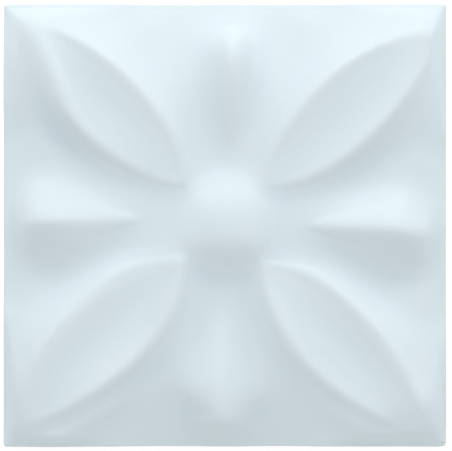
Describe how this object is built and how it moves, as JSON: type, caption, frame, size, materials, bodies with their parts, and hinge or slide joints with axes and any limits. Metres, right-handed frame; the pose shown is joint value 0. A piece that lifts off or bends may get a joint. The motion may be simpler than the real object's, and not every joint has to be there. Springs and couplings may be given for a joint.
{
  "type": "relief wall tile",
  "caption": "Square glazed ceramic wall tile with a raised flower: hollowed pointed petals on the diagonals, keeled buds between them and a round button.",
  "frame": {"origin": "middle of the back, on the plane the tile lies on", "axes": "+Z out of the glazed face, +Y towards the top of the hung tile, +X to the viewer's right"},
  "size_m": [0.148, 0.148, 0.0193],
  "materials": {
    "pale_blue_glaze": "glossy pale ice-blue glaze over a pressed clay body"
  },
  "bodies": {
    "root": {"tile": "pale_blue_glaze"}
  },
  "joints": []
}
